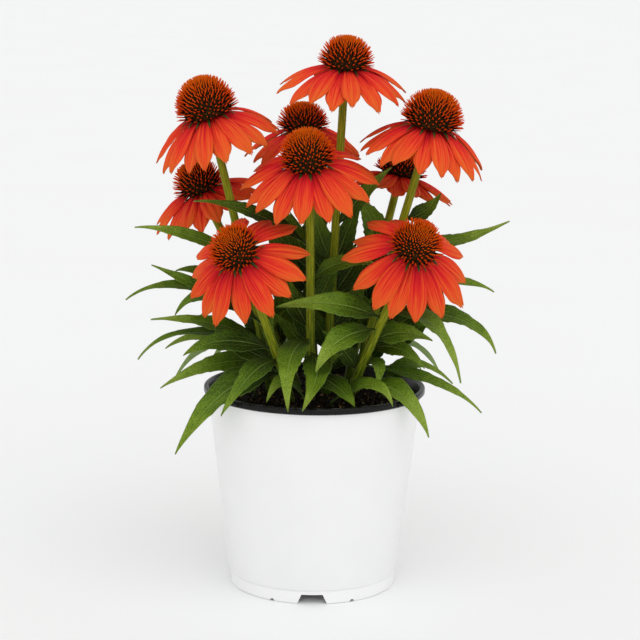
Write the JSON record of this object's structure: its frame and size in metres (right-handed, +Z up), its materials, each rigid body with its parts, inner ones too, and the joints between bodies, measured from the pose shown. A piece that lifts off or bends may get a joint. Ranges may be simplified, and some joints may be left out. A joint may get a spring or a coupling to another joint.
{
  "type": "potted coneflower plant",
  "caption": "Coneflower plant in a plain round nursery pot: leafy stems rise from the soil, each with drooping orange-red petals round a spiny domed cone.",
  "frame": {"origin": "on the pot's axis, level with the surface that its foot ring stands on", "axes": "+Z up along the pot's axis, -Y towards the side that faces the viewer in the picture, +X to that viewer's right"},
  "size_m": [0.286, 0.2078, 0.4112],
  "materials": {
    "pot": "satin white injection-moulded polypropylene, with a glossy black rolled lip",
    "potting_mix": "damp dark peat and bark crumb with tan flecks",
    "stems_and_leaves": "satin green leaf with pale veins, on hairy yellow-green stems",
    "petals": "soft satin orange-red petal, redder at the root, grooved along its length",
    "seed_cones": "dark maroon core under stiff orange-tipped spines"
  },
  "bodies": {
    "root": {"pot": "pot", "potting_mix": "potting_mix", "flower_stem_1": "stems_and_leaves", "flower_stem_2": "stems_and_leaves", "flower_stem_3": "stems_and_leaves", "flower_stem_4": "stems_and_leaves", "flower_stem_5": "stems_and_leaves", "flower_stem_6": "stems_and_leaves", "flower_stem_7": "stems_and_leaves", "flower_stem_8": "stems_and_leaves", "flower_stem_9": "stems_and_leaves", "leaf_tuft_1": "stems_and_leaves", "leaf_tuft_2": "stems_and_leaves", "leaf_tuft_3": "stems_and_leaves", "leaf_tuft_4": "stems_and_leaves", "leaf_tuft_5": "stems_and_leaves", "leaf_tuft_6": "stems_and_leaves", "ray_petals_1": "petals", "ray_petals_2": "petals", "ray_petals_3": "petals", "ray_petals_4": "petals", "ray_petals_5": "petals", "ray_petals_6": "petals", "ray_petals_7": "petals", "ray_petals_8": "petals", "ray_petals_9": "petals", "seed_cone_1": "seed_cones", "seed_cone_2": "seed_cones", "seed_cone_3": "seed_cones", "seed_cone_4": "seed_cones", "seed_cone_5": "seed_cones", "seed_cone_6": "seed_cones", "seed_cone_7": "seed_cones", "seed_cone_8": "seed_cones", "seed_cone_9": "seed_cones"}
  },
  "joints": []
}
